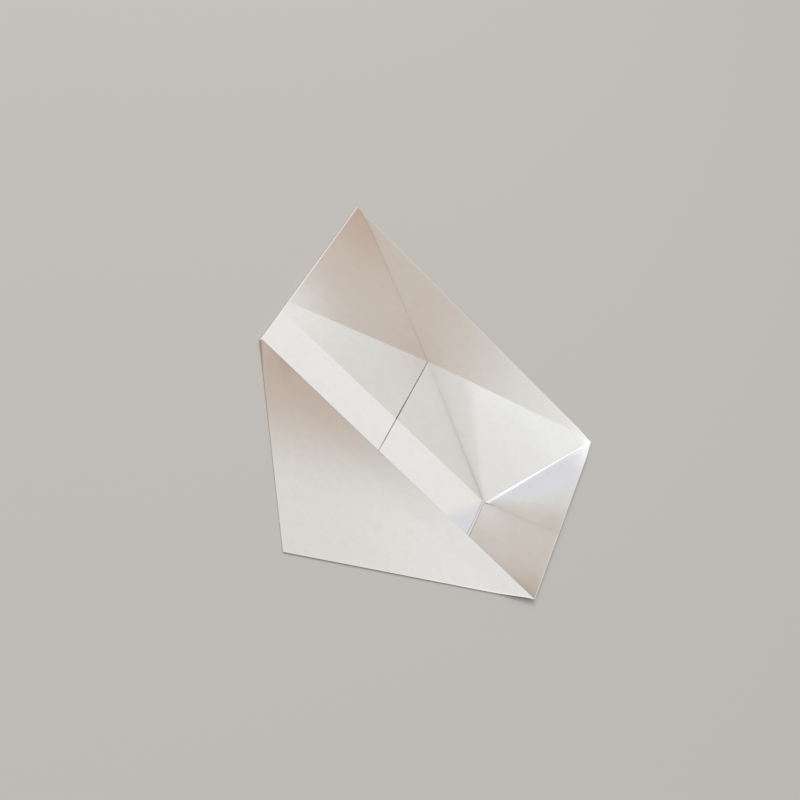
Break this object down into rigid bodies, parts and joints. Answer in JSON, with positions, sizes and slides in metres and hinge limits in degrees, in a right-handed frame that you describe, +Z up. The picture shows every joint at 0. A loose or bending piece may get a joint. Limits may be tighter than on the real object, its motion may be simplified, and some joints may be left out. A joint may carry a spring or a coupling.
{
  "type": "paper airplane",
  "caption": "Glider folded from one sheet of white paper: flat rectangular body with side flaps, a side hem and a triangular nose, all on creases.",
  "frame": {"origin": "on the table, under the middle of the outline's box", "axes": "+X along the rim crease from the side flap to the side hem, +Y away from the nose, +Z up out of the folded sheet"},
  "size_m": [0.1482, 0.1747, 0.0017],
  "materials": {
    "white_paper": "uncoated matt white paper"
  },
  "bodies": {
    "base": {"back_panel": "white_paper", "rim_hem": "white_paper"},
    "left_flap": {"left_flap_main": "white_paper"},
    "left_tip": {"left_flap_tip": "white_paper"},
    "right_flap": {"right_flap_main": "white_paper"},
    "tongue": {"right_flap_tongue": "white_paper"},
    "side_hem": {"side_hem_lower": "white_paper"},
    "hem_tip": {"side_hem_upper": "white_paper"},
    "nose": {"nose_panel": "white_paper"},
    "underfold": {"nose_underfold": "white_paper"}
  },
  "joints": [
    {"name": "left_flap_fold", "type": "hinge", "parent": "base", "child": "left_flap", "pos_m": [-0.07425, 0.035, 0.0006], "axis": [0, -1, 0], "range_deg": [0, 170]},
    {"name": "left_tip_fold", "type": "hinge", "parent": "left_flap", "child": "left_tip", "pos_m": [-0.07425, 0.00942, 0.0011], "axis": [0.8717, 0.4901, 0], "range_deg": [0, 60]},
    {"name": "right_flap_fold", "type": "hinge", "parent": "base", "child": "right_flap", "pos_m": [0.07425, 0.035, 0.0006], "axis": [0, 1, 0], "range_deg": [0, 88]},
    {"name": "tongue_fold", "type": "hinge", "parent": "right_flap", "child": "tongue", "pos_m": [0.03712, 0.00397, 0.0011], "axis": [-0.7799, 0.6259, 0], "range_deg": [0, 60]},
    {"name": "side_hem_fold", "type": "hinge", "parent": "right_flap", "child": "side_hem", "pos_m": [0.07425, 0, 0.00135], "axis": [0, 1, 0], "range_deg": [0, 85]},
    {"name": "hem_tip_fold", "type": "hinge", "parent": "side_hem", "child": "hem_tip", "pos_m": [0.03712, 0.00397, 0.0016], "axis": [0.8944, 0.4472, 0], "range_deg": [0, 60]},
    {"name": "nose_fold", "type": "hinge", "parent": "base", "child": "nose", "pos_m": [0, -0.0175, 0.00185], "axis": [-1, 0, 0], "range_deg": [0, 170]},
    {"name": "underfold_fold", "type": "hinge", "parent": "nose", "child": "underfold", "pos_m": [-0.07425, -0.0175, 0.00085], "axis": [-0.5774, 0.8165, 0], "range_deg": [0, 90]}
  ],
  "couplings": [
    {"joint": "underfold_fold", "follows": "nose_fold", "ratio": 0.5}
  ]
}
